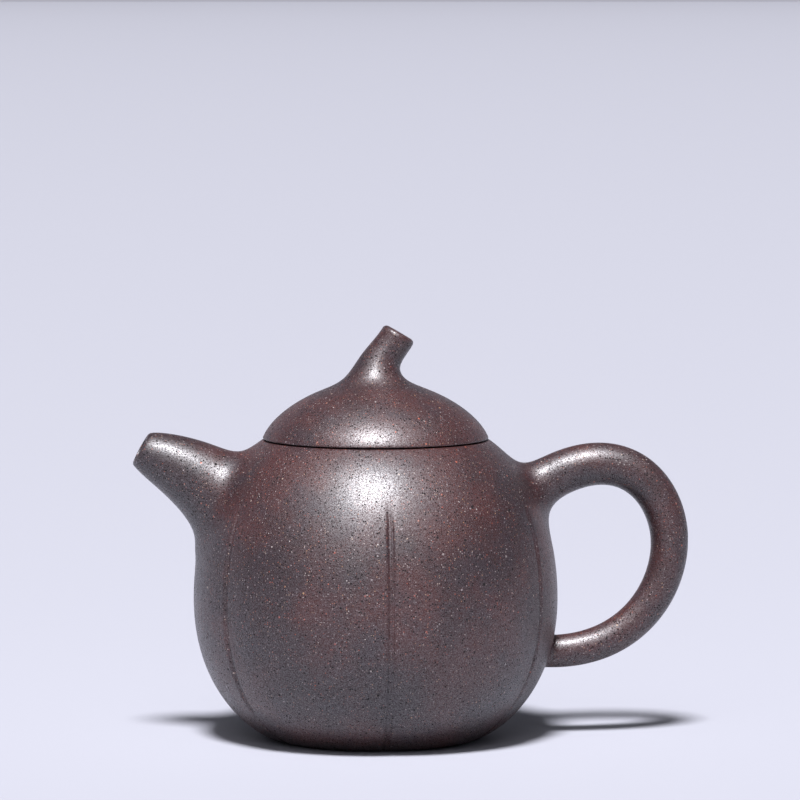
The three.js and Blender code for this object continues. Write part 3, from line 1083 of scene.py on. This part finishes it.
def makeStrainer():
    s = strainerSizes
    tilt = math.radians(s["tilt"])
    axis = np.array([math.cos(tilt), 0, -math.sin(tilt)])
    up = np.array([math.sin(tilt), 0, math.cos(tilt)])
    across = np.array([0.0, 1.0, 0.0])
    centre = np.array([-(bodyRadiusAt(s["height"]) - melon["wall"]), 0, s["height"]])
    angles = evenAngles(72)
    sideways = np.cos(angles)[:, None] * up + np.sin(angles)[:, None] * across
    lean = np.linspace(0, math.pi * 0.75, 160)

    def cap(radius):
        way = np.cos(lean)[:, None, None] * axis + np.sin(lean)[:, None, None] * sideways
        spots = centre + radius * way
        depth = bodySkin.field(spots.reshape(-1, 3))[0].reshape(spots.shape[:2])
        reached = (depth > -(melon["wall"] - 0.5 * mm)) & (lean[:, None] > 0.5)
        stop = lean[reached.argmax(0)]
        share = np.linspace(0.03, 1, 22)[:, None] * stop
        return centre + radius * (np.cos(share)[..., None] * axis + np.sin(share)[..., None] * sideways)

    outside, inside = cap(s["radius"]), cap(s["radius"] - s["thickness"])
    grid = np.concatenate([outside, inside[::-1]])
    poles = [centre + s["radius"] * axis, centre + (s["radius"] - s["thickness"]) * axis]
    shell = gridObject("strainer_dome", grid, plainClay, False, poles)
    drilled = {
        "Holes": 1 + s["firstRing"] + s["secondRing"],
        "Centre": centre,
        "Turn": (0.0, tilt, 0.0),
        "Reach": s["radius"] - s["thickness"] / 2,
        "First ring": float(s["firstRing"]),
        "Second ring": float(s["secondRing"]),
        "First angle": math.radians(s["firstAngle"]),
        "Second angle": math.radians(s["secondAngle"]),
        "Diameter": s["hole"],
        "Length": 3 * s["thickness"],
    }
    return applyNodes(shell, drillNodes(), drilled, plainClay)


strainer = makeStrainer()
print("strainer pierced")


# lid: a dome, the flange under it, and the stem it is lifted by
lidSizes = {
    "rise": 70,
    "reach": 0.52,
    "crown": 0.43,
    "thickness": 3 * mm,
    "innerRadius": 22.45 * mm,
    "ventOut": 13 * mm,
    "vent": 2 * mm,
    "edge": 0.5 * mm,
    "flangeWidth": 2.6 * mm,
    "flangeEdge": 0.6 * mm,
    "flangeSink": 0.4 * mm,
    "sharpFrom": 50,
}


def domeLine(radius, top, count=120):
    rise = math.radians(lidSizes["rise"])
    reach = lidSizes["reach"] * (top - lidBottom)
    return cubic([
        (radius, lidBottom),
        (radius - reach * math.cos(rise), lidBottom + reach * math.sin(rise)),
        (lidSizes["crown"] * radius, top),
        (0, top),
    ], np.linspace(0, 1, count))


def makeDome():
    s = lidSizes
    outer = resample(domeLine(mouthRadius, lidTop), 0.9 * mm)
    inner = resample(domeLine(s["innerRadius"], lidTop - s["thickness"]), 1.5 * mm)
    outline = roundedLoop([
        outer,
        straight(outer[-1], inner[-1], 2),
        inner[::-1],
        straight(inner[0], outer[0], 8),
    ], [0, 0, 0.3 * mm, s["edge"]])
    dome = turnedObject("dome_lid", outline, evenAngles(288), burnishedClay)
    drilled = {
        "Holes": 1,
        "Centre": (0.0, s["ventOut"], lidTop - s["thickness"]),
        "Turn": (0.0, -math.pi / 2, 0.0),
        "Reach": 0.0,
        "First ring": 1.0,
        "Second ring": 1.0,
        "First angle": 0.0,
        "Second angle": 0.0,
        "Diameter": s["vent"],
        "Length": 5 * s["thickness"],
    }
    applyNodes(dome, drillNodes(), drilled, burnishedClay)
    dome.data.set_sharp_from_angle(angle=math.radians(s["sharpFrom"]))
    return dome


stem = {
    "lean": 60,
    "rootLift": 3 * mm,
    "straightShare": 0.45,
    "bendShare": 0.53,
    "endAcross": 5.9 * mm,
    "endRise": 11.3 * mm,
    "rootDiameter": 16.8 * mm,
    "endDiameter": 8.4 * mm,
    "taper": 3.2,
    "fillet": 6 * mm,
    "edge": 1.1 * mm,
    "columns": 72,
}


def makeStem():
    lean = math.radians(stem["lean"])
    rise = stem["endRise"]
    end = np.array([stem["endAcross"], lidTop + rise])
    flat = cubic([
        (0, lidTop - stem["rootLift"]),
        (0, lidTop + stem["straightShare"] * rise),
        end - stem["bendShare"] * rise * np.array([math.cos(lean), math.sin(lean)]),
        end,
    ], np.linspace(0, 1, 120))
    share = np.linspace(0, 1, 120)
    narrowed = 1 - (1 - share) ** stem["taper"]
    diameters = stem["rootDiameter"] + (stem["endDiameter"] - stem["rootDiameter"]) * narrowed
    limb = curvedLimb(flat, diameters / 2)
    dome = resample(domeLine(mouthRadius, lidTop), 0.8 * mm)
    skin = Skin(np.vstack([dome, [-3 * mm, lidTop]]))
    angles = evenAngles(stem["columns"])
    edge = stem["edge"]

    def reachAt(points):
        return np.full(len(points), stem["fillet"])

    rings = rootRings(limb, skin, angles, "near", limb.total - edge, reachAt, 4.5 * mm, 26, 30)
    centre, tangent, radius = limb.at(np.array(limb.total))
    end = [limb.ring(limb.total, angles, (radius - edge) * share) for share in (0.25, 0.5, 0.75)]
    for turn in np.linspace(0, math.pi / 2, 9):
        depth = limb.total - edge * (1 - math.cos(turn))
        reach = np.interp(depth, limb.along, limb.radii) - edge * (1 - math.sin(turn))
        end.append(limb.ring(depth, angles, reach))
    rings = end + rings
    poles = [centre, rings[-1].mean(0) - [0, 0, 1.2 * mm]]
    return gridObject("leaning_stem", np.stack(rings), burnishedClay, False, poles)


dome = makeDome()
knob = makeStem()
flange = makeBand(
    "lid_flange_band", flangeRadius, flangeRadius - lidSizes["flangeWidth"],
    flangeBox[0].z, flangeBox[1].z + lidSizes["flangeSink"],
    [lidSizes["flangeEdge"], 0, 0, lidSizes["flangeEdge"]], plainClay,
)
print("lid made")

hand(body, "pot", "burnished_clay", "body_wall", "shoulder_disc")
hand(spout, "pot", "burnished_clay", "spout")
hand(handle, "pot", "burnished_clay", "handle")
hand(base, "pot", "plain_clay", "base_disc")
hand(mouthRing, "pot", "plain_clay", "mouth_ring")
hand(strainer, "pot", "plain_clay", "spout_strainer")
hand(dome, "lid", "burnished_clay", "lid_dome")
hand(knob, "lid", "burnished_clay", "lid_knob")
hand(flange, "lid", "plain_clay", "lid_flange")


# stage: a pale floor under a soft sky, which is darker on the camera's side; the floor's colour carries
# painted light: lighter near the pot with a painted falloff darker with distance, a painted pool of
# light just in front of the pot, and painted shade further out in front
stage = {
    "floorReach": 400,
    "paper": (0.365, 0.371, 0.413, 1),
    # painted light in the floor's colour: near and falloff paint a falloff of light with distance, the
    # front lift paints a pool of light in front of the pot, the front dim paints shade further out in
    # front
    "near": 0.88,
    "paintedFalloff": 0.1,
    "paintedPoolLift": 0.25,
    "paintedPoolFrom": -0.10,
    "paintedPoolTo": -0.2,
    "paintedFrontDim": 0.5,
    "paintedDimFrom": -0.25,
    "paintedDimTo": -0.7,
    "skyBack": 0.5,
    "skyFront": 0.1,
    "skyTop": 0.06,
    "sky": (0.86, 0.87, 1.0, 1),
    "light": (0.965, 0.955, 1),
    "key": {"power": 7.6, "width": 12.5, "tilt": 26.5, "turn": -10},
    "fill": {"power": 0.7, "width": 40, "tilt": 46, "turn": -12},
}


def makeFloor():
    mesh = bpy.data.meshes.new("floor")
    reach = stage["floorReach"]
    corners = [(-reach, -reach, 0), (reach, -reach, 0), (reach, reach, 0), (-reach, reach, 0)]
    mesh.from_pydata(corners, [], [(0, 1, 2, 3)])
    material = bpy.data.materials.new("floor_paper_painted_light")
    material.use_nodes = True
    material.node_tree.nodes.clear()
    t = Tree(material.node_tree)
    parts = t.node("ShaderNodeSeparateXYZ", None, _0=t.out("ShaderNodeTexCoord", None, 3))
    x, y = Sum(t, parts.outputs[0]), Sum(t, parts.outputs[1])
    # painted light and shade in the floor's colour: lighter near the pot and darker with distance, a
    # painted pool of light just in front of it, painted shade further out in front
    reach = (x * x + y * y) ** 0.5 + 0.06
    away = t.out("ShaderNodeMath", {"operation": "LOGARITHM"}, _0=reach, _1=10.0)
    paintedPoolPeak = 1 + stage["paintedPoolLift"]
    paintedFrontLight = t.smooth(y, stage["paintedPoolFrom"], stage["paintedPoolTo"], 1.0, paintedPoolPeak)
    paintedFrontLight = paintedFrontLight * t.smooth(y, stage["paintedDimFrom"], stage["paintedDimTo"], 1.0, stage["paintedFrontDim"] / paintedPoolPeak)
    share = (stage["near"] - stage["paintedFalloff"] * away) * paintedFrontLight
    colour = t.out("ShaderNodeVectorMath", {"operation": "SCALE"}, _0=stage["paper"][:3], Scale=share)
    shader = t.node("ShaderNodeBsdfPrincipled", None, Base_Color=colour, Roughness=0.7)
    shader.inputs["Specular IOR Level"].default_value = 0.15
    t.node("ShaderNodeOutputMaterial", None, Surface=shader.outputs[0])
    mesh.materials.append(material)
    floor = bpy.data.objects.new("floor", mesh)
    scene.collection.objects.link(floor)


def makeWorld():
    world = bpy.data.worlds.new("sky")
    world.use_nodes = True
    world.node_tree.nodes.clear()
    t = Tree(world.node_tree)
    parts = t.node("ShaderNodeSeparateXYZ", None, _0=t.out("ShaderNodeTexCoord", None, 0))
    low = t.smooth(Sum(t, parts.outputs[1]), -0.3, 0.8, stage["skyFront"], stage["skyBack"])
    high = t.smooth(Sum(t, parts.outputs[2]), 0.15, 0.7)
    strength = low + (stage["skyTop"] - low) * high
    light = t.node("ShaderNodeBackground", None, Color=stage["sky"], Strength=strength)
    t.node("ShaderNodeOutputWorld", None, Surface=light.outputs[0])
    scene.world = world


def makeSun(name, power, width, tilt, turn):
    data = bpy.data.lights.new(name, "SUN")
    data.energy = power
    data.angle = math.radians(width)
    data.color = stage["light"]
    light = bpy.data.objects.new(name, data)
    tilt, turn = math.radians(tilt), math.radians(turn)
    level = math.sin(tilt)
    way = Vector((level * math.sin(turn), -level * math.cos(turn), math.cos(tilt)))
    light.location = way
    light.rotation_euler = (-way).to_track_quat("-Z", "Y").to_euler()
    scene.collection.objects.link(light)


makeFloor()
makeWorld()
makeSun("key", **stage["key"])
makeSun("fill", **stage["fill"])
print("stage set")
scene.view_settings.view_transform = "Standard"
